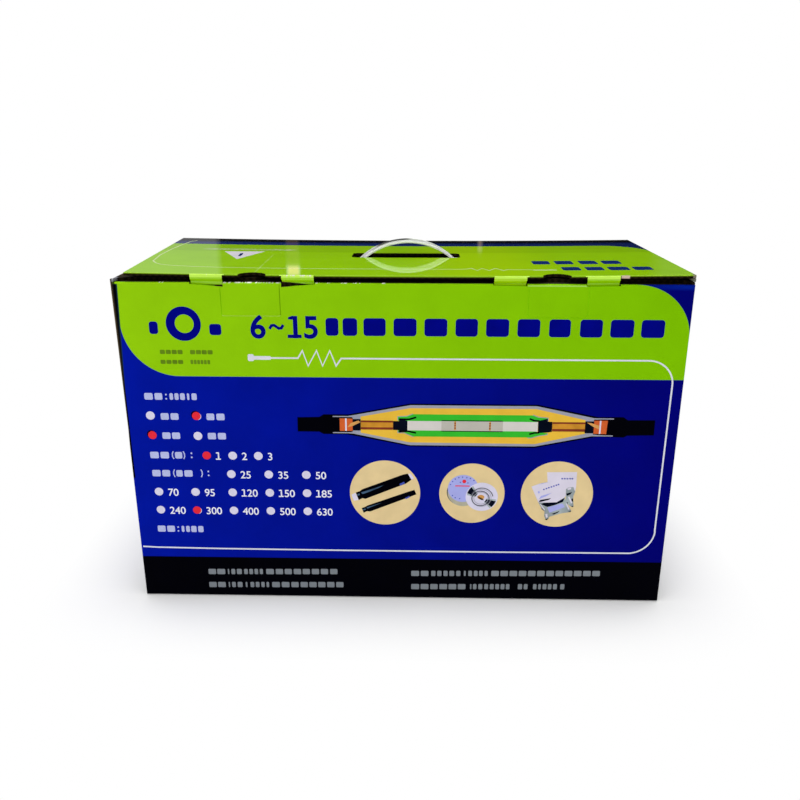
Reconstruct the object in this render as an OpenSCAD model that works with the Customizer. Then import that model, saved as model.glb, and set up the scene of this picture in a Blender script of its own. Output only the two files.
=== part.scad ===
// Corrugated carton with a hinged lid, two tuck-in locks along its front and a plastic carry handle.
// Millimetres, +Z up, +X along the front, the front panel towards -Y.
// The origin is in the middle of the base.

/* [Carton] */
// Length across the front
carton_w = 600; // [460:5:900]
// Depth from front to back
carton_d = 270; // [220:5:420]
// Height of the front panel up to its top fold
panel_h = 371; // [240:1:600]

/* [Board] */
// Thickness of the corrugated board
board_t = 3; // [2:0.5:4]
// Outer radius of a fold
fold_r = 2; // [1.5:0.5:6]
// Clearance round a flap and between two layers of flaps
flap_gap = 0.3; // [0.2:0.1:1]

/* [Glued corner] */
// Width of the glued strip inside the left side panel
glue_w = 35; // [20:1:60]
// Height above which the side panel's cut edge shows beside the front panel
seam_z = 190; // [60:5:220]
// How far the side panel's cut edge stands in front of the front panel at the top
seam_proud = 0.4; // [0.2:0.1:1]

/* [Flaps] */
// Depth of the inner flap that carries the handle
inner_flap_l = 215; // [190:1:215]
// Length of the dust flaps folded in from the sides
dust_flap_l = 155; // [90:1:170]
// Corner radius of the flaps under the lid
flap_corner_r = 12; // [2:1:20]
// Length of the two inner bottom flaps
base_flap_l = 132; // [80:1:200]
// Width of the seam between the two outer bottom flaps
base_seam = 0.8; // [0.5:0.1:3]

/* [Lid] */
// Clearance between the dust flaps and the middle of the lid
lid_clear = 1.3; // [0.3:0.1:2]
// How far the middle of the lid hangs below its ends
lid_sag = 2.5; // [1:0.5:5]
// Gap at the lid's back fold
hinge_gap = 0.3; // [0.2:0.1:0.6]
// How far the lid's cut front edge lies behind the front panel's face
edge_back = 1.5; // [1:0.5:4]
// How much the lid's left side runs in towards the front
left_taper = 12.5; // [2:0.5:20]
// How much the lid's right side runs out towards the front
right_taper = 4; // [0:0.5:8]
// How far the lid's sides lie inside the carton's at the back fold
side_back = 1.5; // [1:0.5:4]

/* [Hand slot] */
// Sideways shift of the hand slot and locks from the carton's middle
slot_shift = 3; // [-6:0.5:6]
// Shift of the hand slot towards the back
slot_back = 5; // [-8:0.5:8]
// Length of the hand slot
hand_slot_l = 127; // [122:1:160]
// Width of the hand slot
hand_slot_w = 34; // [28:1:50]
// Corner radius of the hand slot
hand_slot_r = 6; // [1:0.5:12]

/* [Locks] */
// Distance between the middles of the two locks
lock_pitch = 313; // [290:1:340]
// Width of the opening between the two legs of a lock
lock_window = 62; // [50:1:80]
// Width of each leg
leg_w = 33; // [20:1:36]
// How far the legs reach below the front panel's top fold
leg_reach = 30; // [20:1:45]
// Clearance round the legs in their slots
leg_clear = 0.4; // [0.3:0.1:1]
// Lean of the short band between the lid's edge and a leg, in degrees
band_lean = 40; // [36:1:46]
// Outer radius of the sharp fold between the lid and a leg
crease_r = 1.2; // [0.6:0.2:2.4]
// Fillet where a leg meets the lid's edge
leg_fillet = 2.5; // [2:0.5:8]
// Corner radius at the tips of the legs
leg_tip_r = 7; // [2:0.5:9]
// Radius of the thumb notches in the lid's edge
notch_r = 14.5; // [11:0.5:20]
// Depth of the thumb notches
notch_depth = 13.5; // [5:0.5:15]

/* [Lock outlines] */
// Height of the outline pressed into the front panel under each window
mark_h = 35; // [20:1:50]
// Width of the pressed line
mark_w = 0.6; // [0.4:0.1:1.5]
// Depth of the pressed line under the left window
left_mark_depth = 0.8; // [0.2:0.1:1.2]
// Depth of the pressed line under the right window
right_mark_depth = 0.4; // [0.2:0.1:1.2]
// Corner radius of the pressed outline
mark_r = 2; // [1:0.5:6]
// How far each pressed outline stands outwards of the middle of its lock
mark_out = 2.5; // [0:0.5:5]
// Depth of the left lock's slots at their inner ends
left_slot_drop = 4.3; // [2:0.1:8]
// Depth of the right lock's slots at their inner ends
right_slot_drop = 2; // [1.6:0.1:8]
// Depth of the slots at their outer ends
slot_end_drop = 1.5; // [1.2:0.1:1.6]

/* [Handle] */
// Sideways place of the handle
handle_x = 4.5; // [0:0.5:6]
// Turn of the handle about the vertical, in degrees
handle_turn = 5; // [0:0.5:6]
// Width of the strap
strap_w = 22; // [14:1:24]
// Thickness of the strap between its two rims
strap_t = 2; // [1.4:0.1:2.2]
// Radius of the strap's rims
rim_r = 1.5; // [1.2:0.05:1.6]
// Outer radius of the arch
arch_r = 81.5; // [78:0.5:88]
// Height of the arch above the inner flap
arch_h = 26.5; // [22:0.5:28]
// Radius of the bend at each foot
foot_bend_r = 8; // [6:0.5:12]
// Length of the flat foot at each end
foot_l = 20; // [18:1:26]
// Corner radius at the end of each foot
foot_end_r = 5; // [2:0.5:8]
// Length of the neck below each foot, across the strap
neck_l = 16; // [10:1:22]
// Thickness of each neck
neck_t = 3; // [2:0.5:5]
// Distance between a neck and the end of its foot
neck_end = 8; // [7:0.5:11]
// Clearance round a neck in its slit
neck_clear = 0.5; // [0.3:0.1:1.5]
// Length of the bar that holds each neck under the inner flap
anchor_l = 26; // [24:1:36]
// Width of the bar
anchor_w = 8; // [7:0.5:12]
// Thickness of the bar
anchor_t = 3; // [2:0.5:5]

/* [Hidden] */
$fn = 64;
eps = 0.01;
over = 1;
// Step between two faces that would otherwise all but fall together
hair = 0.03;

left_x = -carton_w / 2;
right_x = carton_w / 2;
back_y = carton_d / 2;
front_y = -carton_d / 2 + seam_proud;

dust_z = panel_h + flap_gap;
dust_top = dust_z + board_t;
lid_under = dust_top + lid_clear;
lid_top = lid_under + board_t;
hinge_z = lid_under + lid_sag;
wall_top = hinge_z - hinge_gap;

// The lid's middle hangs in an arc of radius sag_r
sag_r = (pow(carton_w / 2, 2) + pow(lid_sag, 2)) / (2 * lid_sag);
sag_steps = 24;
function sag_rise(x) = sag_r - sqrt(sag_r * sag_r - x * x);
function sag_line(z, reach) = [for (i = [0:sag_steps])
    let (x = reach * (2 * i / sag_steps - 1)) [x, z + sag_rise(x)]];
function backwards(points) = [for (i = [len(points) - 1:-1:0]) points[i]];

function turn(p, angle, d) = [p[0] + d * cos(angle), p[1] + d * sin(angle)];
function lock_x(side) = slot_shift + side * lock_pitch / 2;

// Section of a lock, from the lid's front fold down to the tip of a leg, as [y, z]
fold_mid = [front_y + flap_gap + board_t, lid_under];
band_top = turn(fold_mid, 180 + band_lean, board_t);
band_l = (front_y + board_t + leg_clear - band_top[0]) / sin(band_lean);
bend = turn(band_top, band_lean - 90, band_l);
leg_h = bend[1] - panel_h + leg_reach;
swing_in = pow(hinge_z - panel_h + leg_reach, 2) / (2 * (carton_d - 2 * board_t)) + leg_clear;
leg_lean = atan(swing_in / leg_h);
leg_tip = turn(bend, leg_lean - 90, leg_h / cos(leg_lean));
bend_half = (band_lean - leg_lean) / 2;
bend_in = turn(bend, leg_lean + bend_half, board_t / cos(bend_half));
leg_tip_in = turn(leg_tip, leg_lean, board_t);
leg_slot_y = leg_tip_in[0] + leg_clear;
leg_out = lock_window / 2 + leg_w;

slot_in = lock_window / 2 - 2 * leg_clear;
slot_out = leg_out + 2 * leg_clear;

// Centre and half angle of the handle's arch
arch_z = panel_h + arch_h - arch_r;
arch_mid_r = arch_r - rim_r;
seat_z = panel_h + flap_gap / 2 + rim_r;
arch_half = acos((seat_z - arch_z + foot_bend_r) / (arch_mid_r + foot_bend_r));
foot_x = (arch_mid_r + foot_bend_r) * sin(arch_half);
neck_x = foot_x + foot_l - neck_end;
// The bend is a hair thinner than what it joins, and runs a little way into it
bend_slim = 0.05;
bend_lap = 3.5;
handle_y = slot_back;

print_green = [0.55, 0.77, 0.06];
handle_white = [0.88, 0.90, 0.86];

// Rectangle with rounded corners, from one corner
module round_rect(size, r) {
    translate([r, 0]) square([size[0] - 2 * r, size[1]]);
    translate([0, r]) square([size[0], size[1] - 2 * r]);
    for (x = [r, size[0] - r], y = [r, size[1] - r]) translate([x, y]) circle(r);
}

// What is cut from a square corner at the origin to round it, for a solid towards +X and +Y
module corner_off(r) {
    difference() {
        translate([-over, -over]) square(r + over);
        translate([r, r]) circle(r);
    }
}

// Draws children given as [y, z] and sweeps them along X
module along_x(x0, x1) {
    translate([x0, 0, 0]) rotate([90, 0, 90]) linear_extrude(x1 - x0) children();
}

// Draws children given as [x, z] and sweeps them along Y
module along_y(y0, y1) {
    translate([0, y1, 0]) rotate([90, 0, 0]) linear_extrude(y1 - y0) children();
}

// Layer from z0 to z1 at the lid's middle, sagging as the lid does
module sag_layer(z0, z1, y0, y1) {
    reach = carton_w / 2 + over;
    along_y(y0, y1) polygon(concat(sag_line(z0, reach), backwards(sag_line(z1, reach))));
}

// The four walls in one loop, with rounded upright folds
module walls() {
    size = [carton_w, back_y - front_y];
    inner_r = max(fold_r - board_t, 0.5);
    difference() {
        translate([left_x, front_y, 0]) linear_extrude(wall_top) round_rect(size, fold_r);
        translate([left_x + board_t, front_y + board_t, -over]) linear_extrude(wall_top + 2 * over)
            round_rect([size[0] - 2 * board_t, size[1] - 2 * board_t], inner_r);
        glued_corner_room();
        wall_tops();
        base_room();
    }
}

// What is cut from the walls above the fold of each panel
module wall_tops() {
    span = right_x - left_x + 2 * over;
    translate([left_x - over, front_y - over, panel_h]) cube([span, over + board_t, wall_top]);
    translate([left_x - over, front_y, dust_top])
        cube([span, back_y - front_y - board_t, wall_top]);
    sag_layer(lid_under - hinge_gap, lid_top + lid_sag, back_y - 2 * board_t, back_y + over);
}

// What is cut from the side walls so that they start above the outer bottom flaps
module base_room() {
    for (x = [left_x - over, right_x - board_t - over])
        translate([x, front_y + fold_r, -over])
            cube([board_t + 2 * over, back_y - front_y - 2 * fold_r, board_t + over]);
}

seam_w = 2 * board_t + 1;

module glued_corner_room() {
    translate([left_x - over, front_y - over, -over])
        cube([seam_w + over, seam_w + over, wall_top + 2 * over]);
}

// The corner where the front panel's glued strip lies inside the left side panel.
// The side panel's cut edge shows beside the front panel's fold above seam_z.
module glued_corner() {
    seam_top = front_y - seam_proud;
    side_front = front_y + board_t;
    along_x(left_x, left_x + board_t)
        polygon([[side_front, board_t], [side_front, seam_z], [seam_top, dust_top],
                 [front_y + seam_w + eps, dust_top], [front_y + seam_w + eps, board_t]]);
    panel_end();
    strip = [left_x + board_t, left_x + 2 * board_t];
    end_drop = board_t * 3;
    along_x(strip[0], strip[1])
        polygon([[front_y + board_t - eps, end_drop], [front_y + glue_w, 2 * end_drop],
                 [front_y + glue_w, panel_h - 2 * end_drop],
                 [front_y + board_t - eps, panel_h - end_drop]]);
}

// Left end of the front panel, upright up to seam_z and leaning in above it
module panel_end() {
    run = panel_h - seam_z;
    shift = board_t + flap_gap;
    end_w = seam_w + shift + over;
    translate([left_x, front_y, 0]) linear_extrude(seam_z) end_plan(end_w);
    intersection() {
        translate([left_x + hair, front_y + hair, seam_z]) rotate([0, atan(shift / run), 0])
            translate([0, 0, -over]) linear_extrude(run + 2 * over) end_plan(end_w);
        translate([left_x, front_y, seam_z - over / 2])
            cube([2 * end_w, 2 * board_t, run + over / 2]);
    }
}

module end_plan(end_w) {
    difference() {
        square([end_w, board_t]);
        corner_off(fold_r);
    }
}

// Outer bottom flaps from the front and back panels, over two shorter ones from the sides
module bottom_flaps() {
    half = [[front_y + fold_r, -base_seam / 2], [base_seam / 2, back_y - fold_r]];
    for (run = half)
        translate([left_x + flap_gap, run[0], 0])
            cube([carton_w - 2 * flap_gap, run[1] - run[0], board_t]);
    for (run = [[front_y, front_y + fold_r], [back_y - fold_r, back_y]])
        translate([left_x + fold_r, run[0], 0])
            cube([carton_w - 2 * fold_r, run[1] - run[0], board_t]);
    side_gap = board_t + flap_gap;
    for (x = [left_x + board_t / 2, right_x - base_flap_l])
        translate([x, front_y + side_gap, board_t])
            cube([base_flap_l - board_t / 2, back_y - front_y - 2 * side_gap, board_t]);
}

// Flap folded in from the front panel, with slots for the legs and slits for the handle
module inner_flap() {
    x0 = left_x + 2 * board_t + 4 * flap_gap;
    x1 = right_x - board_t - 4 * flap_gap;
    difference() {
        translate([x0, front_y, panel_h - board_t]) linear_extrude(board_t)
            difference() {
                square([x1 - x0, inner_flap_l]);
                translate([x1 - x0, inner_flap_l]) rotate(180) corner_off(flap_corner_r);
                translate([0, inner_flap_l]) rotate(-90) corner_off(flap_corner_r);
            }
        handle_slits();
    }
}

module handle_slits() {
    at_handle() for (side = [-1, 1])
        translate([side * neck_x, 0, panel_h])
            cube([neck_t + 2 * neck_clear, neck_l + 2 * neck_clear, 3 * board_t], center = true);
}

// Flap folded in over the inner flap from the side panel: side is -1 for the left and 1 for the right
module dust_flap(side) {
    y0 = leg_slot_y + board_t;
    y1 = back_y - board_t - 2 * flap_gap;
    near = front_y + board_t + 2 * flap_gap;
    shoulder = board_t + (y0 - near) + board_t;
    run_in = 4 * board_t;
    mirror([side < 0 ? 0 : 1, 0, 0]) translate([left_x, 0, dust_z]) linear_extrude(board_t)
        difference() {
            polygon([[0, near], [shoulder, y0], [dust_flap_l, y0],
                     [dust_flap_l, y1 - run_in], [shoulder, y1], [0, y1]]);
            translate([dust_flap_l, y0]) rotate(90) corner_off(flap_corner_r);
            translate([dust_flap_l, y1 - run_in]) rotate(180) corner_off(flap_corner_r);
        }
}

// Rounding along the outside of the folds at the top and bottom edges
module fold_rounding() {
    along_x(left_x + board_t + flap_gap, right_x - board_t)
        translate([front_y, panel_h]) rotate(-90) corner_off(fold_r);
    along_x(left_x - over, right_x + over) {
        translate([front_y, 0]) corner_off(fold_r);
        translate([back_y, 0]) rotate(90) corner_off(fold_r);
    }
    y_end = back_y - board_t;
    along_y(front_y + board_t, y_end) {
        translate([left_x, dust_top]) rotate(-90) corner_off(fold_r);
        translate([right_x, dust_top]) rotate(180) corner_off(fold_r);
    }
}

// Slots for the two legs of a lock, from the front panel's top edge into the inner flap
module leg_slots(side) {
    drop = side < 0 ? left_slot_drop : right_slot_drop;
    depth = leg_slot_y - front_y - board_t;
    for (hand = [-1, 1]) translate([lock_x(side), 0, 0]) {
        x0 = hand < 0 ? -slot_out : slot_in;
        translate([x0, front_y + board_t - eps, panel_h - board_t - over])
            cube([slot_out - slot_in, depth, board_t + 2 * over]);
        along_y(front_y - over, front_y + board_t)
            polygon([[hand * slot_in, panel_h - drop], [hand * slot_out, panel_h - slot_end_drop],
                     [hand * slot_out, panel_h + over], [hand * slot_in, panel_h + over]]);
    }
}

// Outline pressed into the front panel, as [x, z], from its foot up past the panel's fold
module mark_outline(inset) {
    half = lock_window / 2 - inset;
    z0 = panel_h - mark_h + inset;
    difference() {
        translate([-half, z0]) square([2 * half, mark_h]);
        for (hand = [0, 1]) mirror([hand, 0]) translate([-half, z0]) corner_off(mark_r);
    }
}

// Line pressed into the front panel on three sides of the space under a lock's window
module pressed_line(side) {
    depth = side < 0 ? left_mark_depth : right_mark_depth;
    middle = lock_x(side) + side * mark_out;
    translate([middle, 0, 0]) along_y(front_y - over, front_y + depth) difference() {
        mark_outline(0);
        mark_outline(mark_w);
        translate([-lock_window, panel_h - fold_r]) square(2 * lock_window);
    }
}

module carton_body() {
    color(print_green) difference() {
        union() {
            walls();
            glued_corner();
            bottom_flaps();
            inner_flap();
            dust_flap(-1);
            dust_flap(1);
        }
        fold_rounding();
        for (side = [-1, 1]) {
            leg_slots(side);
            pressed_line(side);
        }
    }
}

// The lid's outline seen from above
module lid_plan() {
    difference() {
        polygon([[left_x + side_back + left_taper, front_y - over], [right_x, front_y - over],
                 [right_x - right_taper, back_y + over], [left_x + side_back, back_y + over]]);
        translate([slot_shift - hand_slot_l / 2, slot_back - hand_slot_w / 2])
            round_rect([hand_slot_l, hand_slot_w], hand_slot_r);
        for (side = [-1, 1])
            translate([lock_x(side), front_y + edge_back + notch_depth - notch_r]) circle(notch_r);
    }
}

// A lock's front fold, leaning band and leg as [y, z]
module lock_section() {
    translate(fold_mid) difference() {
        translate([-board_t, 0]) square([2 * board_t, board_t]);
        translate([-board_t, board_t]) rotate(-90) corner_off(crease_r);
    }
    intersection() {
        translate(fold_mid) circle(board_t);
        polygon([fold_mid, fold_mid + [-2 * board_t, 0],
                 turn(fold_mid, 180 + band_lean, 2 * board_t)]);
    }
    polygon([fold_mid, band_top, bend, leg_tip, leg_tip_in, bend_in]);
}

// A lock's leg seen from the front as [x, z], with a fillet into the lid's edge: hand is -1 or 1
module leg_outline(side, hand) {
    x0 = lock_window / 2;
    z0 = panel_h - leg_reach;
    under = lid_under + sag_rise(lock_x(side) + hand * x0);
    top = lid_top + lid_sag + over;
    mirror([hand < 0 ? 1 : 0, 0]) {
        translate([x0, z0]) round_rect([leg_w, top - z0], leg_tip_r);
        translate([x0, under]) square([leg_w, top - under]);
        difference() {
            translate([x0 - leg_fillet, under - leg_fillet])
                square([leg_fillet + eps, top - under + leg_fillet]);
            translate([x0 - leg_fillet, under - leg_fillet]) circle(leg_fillet);
        }
    }
}

// Each leg leans with the lid where it stands, a hair below the lid's own faces
module leg(side, hand) {
    middle = lock_x(side) + hand * (lock_window + leg_w) / 2;
    intersection() {
        translate([middle, 0, sag_rise(middle) - hair])
            translate([0, 0, lid_under]) rotate([0, -asin(middle / sag_r), 0])
                translate([0, 0, -lid_under]) along_x(-leg_w, leg_w) lock_section();
        translate([lock_x(side), 0, 0]) along_y(front_y - over, leg_tip_in[0] + over)
            leg_outline(side, hand);
    }
}

module lid() {
    color(print_green) {
        intersection() {
            sag_layer(lid_under, lid_top, front_y + edge_back, back_y);
            translate([0, 0, lid_under - over])
                linear_extrude(board_t + 2 * lid_sag + 2 * over) lid_plan();
        }
        for (side = [-1, 1], hand = [-1, 1]) leg(side, hand);
    }
}

module at_handle() {
    translate([handle_x, handle_y, 0]) rotate(handle_turn) children();
}

// Section of the strap, as distance from the bend's axis and place across the strap
module strap_section(r, slim = 0) {
    half = strap_w / 2 - rim_r;
    web = strap_t / 2 - slim;
    translate([r - web, -half]) square([2 * web, 2 * half]);
    for (y = [-half, half]) translate([r, y]) circle(rim_r - slim);
}

// Part of a ring of strap in the XZ plane, from angle a0 to a1 above +X
module strap_arc(r, a0, a1, slim = 0) {
    rotate([90, 0, 0]) rotate(a0) rotate_extrude(angle = a1 - a0, $fn = 180)
        strap_section(r, slim);
}

// Flat foot beyond the bend, with a neck through the inner flap and a bar below it
module handle_foot() {
    intersection() {
        translate([foot_x, 0, seat_z]) rotate([0, 90, 0]) linear_extrude(foot_l) strap_section(0);
        translate([foot_x - strap_w, -strap_w / 2 - eps, seat_z - 2 * rim_r])
            linear_extrude(4 * rim_r) round_rect([strap_w + foot_l, strap_w + 2 * eps], foot_end_r);
    }
    bar_top = panel_h - board_t - flap_gap / 2;
    neck_top = seat_z;
    translate([neck_x - neck_t / 2, -neck_l / 2, bar_top - anchor_t / 2])
        cube([neck_t, neck_l, neck_top - bar_top + anchor_t / 2]);
    translate([neck_x - anchor_w / 2, -anchor_l / 2, bar_top - anchor_t]) linear_extrude(anchor_t)
        round_rect([anchor_w, anchor_l], anchor_w / 2 - eps);
}

module handle() {
    color(handle_white) at_handle() {
        translate([0, 0, arch_z]) strap_arc(arch_mid_r, 90 - arch_half, 90 + arch_half);
        for (hand = [0, 1]) mirror([hand, 0, 0]) {
            translate([foot_x, 0, seat_z + foot_bend_r])
                strap_arc(foot_bend_r, 270 - arch_half - bend_lap, 270 + bend_lap, bend_slim);
            handle_foot();
        }
    }
}

carton_body();
lid();
handle();
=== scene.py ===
import math
from functools import partial, reduce

import bmesh
import bpy
from mathutils import Matrix, Vector


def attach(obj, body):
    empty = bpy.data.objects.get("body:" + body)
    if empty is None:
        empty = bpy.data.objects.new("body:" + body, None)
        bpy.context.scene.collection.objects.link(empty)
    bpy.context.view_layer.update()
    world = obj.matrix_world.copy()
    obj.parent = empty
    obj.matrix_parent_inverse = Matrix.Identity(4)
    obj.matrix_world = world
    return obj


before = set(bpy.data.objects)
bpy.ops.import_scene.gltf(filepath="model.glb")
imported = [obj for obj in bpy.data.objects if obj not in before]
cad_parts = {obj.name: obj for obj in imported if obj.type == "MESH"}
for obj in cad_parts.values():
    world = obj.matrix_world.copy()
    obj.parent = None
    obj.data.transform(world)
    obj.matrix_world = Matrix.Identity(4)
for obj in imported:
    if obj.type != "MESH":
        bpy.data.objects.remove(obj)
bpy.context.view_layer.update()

# Sizes in millimetres, as in the CAD model
MM = 0.001
HALF = 300.0            # half the carton's length
FRONT = -134.6          # face of the front panel
EDGE = -133.1           # the lid's cut front edge
BACK = 135.0            # face of the back panel
PANEL_H = 371.0         # top of the front fold
LID_TOP = 378.6         # the lid's upper face at its middle
LID_UNDER = 375.6       # the lid's lower face there
SAG_R = 18001.25        # radius of the lid's sag
LOCKS = (-153.5, 159.5)     # middles of the lid's two locks
LOCK_HALF, NOTCH_HALF = 66, 30.6
STRAP_TURN = 0.0875     # the strap's turn in its slot, as a slope

# The print, in millimetres; an arc is its middle, radius and the signs of its corner
LAYER = 0.04            # thickness of one layer of ink
FIGURE_SHARE = 0.73     # height of a figure as a share of its font's size
FIELD_FOOT = 270        # lower edge of the green field on the front
FIELD_ARCS = ((-236, 329, 59, -1, -1), (242, 313, 58, 1, 1))
FOOT_BAND = 51          # upper edge of the black foot band
LID_BAND = 82           # front edge of the lid's blue band
LID_ARC = (241, 25, 57.5, 1, 1)
LID_SHADE = 25          # behind this the lid's green is painted a little darker, as a darker reflection
CREASE_X, CREASE_LEAN = -154.2, 0.011       # the crease in the film, and its lean to the left going back
GAP_FOOT, GAP_LEAN = 190, 6.2 / 180         # foot and lean of the painted shade of a gap at the panel's left end

KEY, FILL, TOP = 22.0, 8.5, 34.0        # power of the three lamps
ROOM, SKY = 0.6, 0.9                    # brightness of the room and its ceiling
CARD = (0.26, 0.004, 0.08)              # brightness of the card's left, middle and right
# Openings beside the card: direction sideways, half width, lowest and highest direction, brightness
WINDOWS = ((-0.154, 0.0075, 0.125, 0.164, 0.12), (-0.154, 0.0075, 0.164, 0.1745, 1.8),
           (0.0752, 0.0019, 0.125, 0.146, 0.5))


def srgb(r, g, b):
    """A screen colour of 0 to 255 as a linear colour."""
    out = []
    for c in (r, g, b):
        c /= 255
        out.append(c / 12.92 if c <= 0.04045 else ((c + 0.055) / 1.055) ** 2.4)
    return (*out, 1.0)


class Nodes:
    """Short calls that build one node tree. A mask is a number from 0 to 1."""

    def __init__(self, tree):
        self.tree = tree

    def link(self, a, b):
        self.tree.links.new(a, b)

    def feed(self, value, socket):
        """Links a node's output to the socket, or puts a constant on it."""
        if isinstance(value, bpy.types.NodeSocket):
            self.link(value, socket)
        elif socket.type == "VECTOR":
            socket.default_value = value[:3]
        else:
            socket.default_value = value

    def new(self, kind, **inputs):
        """A node of this kind, with its inputs fed by name."""
        node = self.tree.nodes.new(kind)
        for key, value in inputs.items():
            self.feed(value, node.inputs[key.replace("_", " ")])
        return node

    def split(self, vector):
        return self.new("ShaderNodeSeparateXYZ", Vector=vector).outputs

    def math(self, op, a, b=0.0, c=0.0, clamp=False):
        node = self.new("ShaderNodeMath")
        node.operation = op
        node.use_clamp = clamp
        for value, socket in zip((a, b, c), node.inputs):
            self.feed(value, socket)
        return node.outputs[0]

    def scaled(self, a, k):
        return self.math("MULTIPLY", a, k)

    def minus(self, a, b):
        return self.math("SUBTRACT", a, b)

    def apart(self, a, b):
        """Distance between two numbers."""
        return self.math("ABSOLUTE", self.minus(a, b))

    def length(self, a, b):
        """Length of the vector (a, b)."""
        return self.math("SQRT", self.math("ADD", self.math("MULTIPLY", a, a), self.math("MULTIPLY", b, b)))

    def above(self, a, edge, soft=0.3):
        """0 below the edge and 1 above it, over a width of soft."""
        return self.math("MULTIPLY_ADD", a, 1 / soft, 0.5 - edge / soft, clamp=True)

    def below(self, a, edge, soft=0.3):
        return self.math("MULTIPLY_ADD", a, -1 / soft, 0.5 + edge / soft, clamp=True)

    def all(self, *masks):
        return reduce(partial(self.math, "MULTIPLY"), masks)

    def any(self, *masks):
        return reduce(partial(self.math, "MAXIMUM"), masks)

    def no(self, mask):
        return self.minus(1.0, mask)

    def between(self, a, low, high, soft=0.3):
        return self.all(self.above(a, low, soft), self.below(a, high, soft))

    def within(self, a, spans, soft):
        """1 where a lies between the two ends of any of the spans."""
        return self.any(*(self.between(a, low, high, soft) for low, high in spans))

    def outside_arc(self, u, v, cu, cv, r, su, sv, soft=0.5):
        """1 in the corner beyond an arc round (cu, cv), towards the signs su and sv."""
        du, dv = self.minus(u, cu), self.minus(v, cv)
        return self.all(self.above(self.scaled(du, su), 0), self.above(self.scaled(dv, sv), 0),
                        self.above(self.length(du, dv), r, soft))

    def mix(self, mask, a, b):
        """The colour a where the mask is 0 and b where it is 1."""
        node = self.new("ShaderNodeMix")
        node.data_type = "RGBA"
        for key, value in (("Factor", mask), ("A", a), ("B", b)):
            self.feed(value, node.inputs[key])
        return node.outputs["Result"]

    def number(self, mask, a, b):
        """The number a where the mask is 0 and b where it is 1."""
        return self.math("MULTIPLY_ADD", mask, self.minus(b, a), a)

    def ranged(self, value, a, b, low, high):
        """Brings a..b to low..high."""
        return self.new("ShaderNodeMapRange", Value=value, From_Min=a, From_Max=b,
                        To_Min=low, To_Max=high).outputs[0]


class Material(Nodes):
    """One material's nodes; x, y and z are the object's own place in millimetres."""

    def __init__(self, name):
        self.mat = bpy.data.materials.new(name)
        self.mat.use_nodes = True
        super().__init__(self.mat.node_tree)
        self.shader = self.tree.nodes["Principled BSDF"]
        coords = self.new("ShaderNodeTexCoord").outputs
        self.place = coords["Object"]
        self.x, self.y, self.z = (self.scaled(o, 1 / MM) for o in self.split(self.place))
        self.nx, self.ny, self.nz = self.split(coords["Normal"])

    def shade(self, colour, k):
        """Multiplies a colour by the number k."""
        node = self.new("ShaderNodeVectorMath")
        node.operation = "SCALE"
        self.feed(colour, node.inputs[0])
        self.feed(k, node.inputs["Scale"])
        return node.outputs[0]

    def noise(self, scale, detail=3.0, low=0.0, high=1.0, stretch=(1, 1, 1), seed=0.0):
        """Noise on the object's own place, brought to low..high. scale is in cells a metre."""
        where = self.new("ShaderNodeMapping", Vector=self.place, Scale=stretch,
                         Location=(seed, seed * 0.7, seed * 1.3)).outputs[0]
        node = self.new("ShaderNodeTexNoise", Vector=where, Scale=scale, Detail=detail)
        return self.ranged(node.outputs["Fac"], 0.3, 0.7, low, high)

    def waves(self, scale, distortion):
        return self.new("ShaderNodeTexWave", Vector=self.place, Scale=scale, Distortion=distortion).outputs["Fac"]

    def bump(self, height, distance, strength, **after):
        return self.new("ShaderNodeBump", Height=height, Distance=distance, Strength=strength, **after).outputs[0]

    def finish(self, colour, roughness, **more):
        """Feeds the shader's inputs by name and returns the material."""
        for key, value in dict(Base_Color=colour, Roughness=roughness, **more).items():
            self.feed(value, self.shader.inputs[key.replace("_", " ")])
        return self.mat


# Colours of the board; each left and right pair is lighter at the left, as painted light that falls off towards
# the right
GREEN_L, GREEN_R = srgb(140, 195, 10), srgb(120, 184, 0)
BLUE_L, BLUE_R = srgb(0, 20, 150), srgb(0, 0, 106)
BLACK = srgb(0, 0, 5)
LID_L, LID_R = srgb(154, 209, 12), srgb(145, 199, 0)
LID_BLUE_L, LID_BLUE_R = srgb(14, 40, 112), srgb(10, 28, 86)
KRAFT = srgb(112, 82, 50)
CUT = srgb(36, 29, 16)              # cut edges, darkened as painted shade
WORN = srgb(214, 212, 200)


def across(n, a, b):
    """A colour that goes from a at the left to b at the right: painted light that falls off across the carton."""
    return n.mix(n.ranged(n.x, -HALF, HALF, 0.0, 1.0), a, b)


def cut_board(n):
    """Colours of bare board: where it is cut, darkened as painted shade, with the flutes' waves, and its brown
    liner.
    """
    flutes = n.ranged(n.waves(48, 1.5), 0.2, 0.8, 0.45, 1.1)
    grain = n.noise(900, 4, 0.75, 1.15)
    return n.shade(n.shade(CUT, flutes), grain), n.shade(KRAFT, grain)


def gloss(n):
    """Bump of laminated board: the flutes' faint washboard, long waves and fine grain."""
    washboard = n.bump(n.waves(24, 0.6), 0.00002, 0.35)
    long_waves = n.bump(n.noise(9, 2, 0, 1), 0.0015, 0.35, Normal=washboard)
    return n.bump(n.noise(1600, 2, 0, 1), 0.00001, 0.3, Normal=long_waves)


def cracks(n, scale, edge, soft, seed=0.0):
    """Specks along x, where ink has cracked over a fold."""
    return n.above(n.noise(scale, 1, 0, 1, stretch=(1, 0.02, 0.02), seed=seed), edge, soft)


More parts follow.
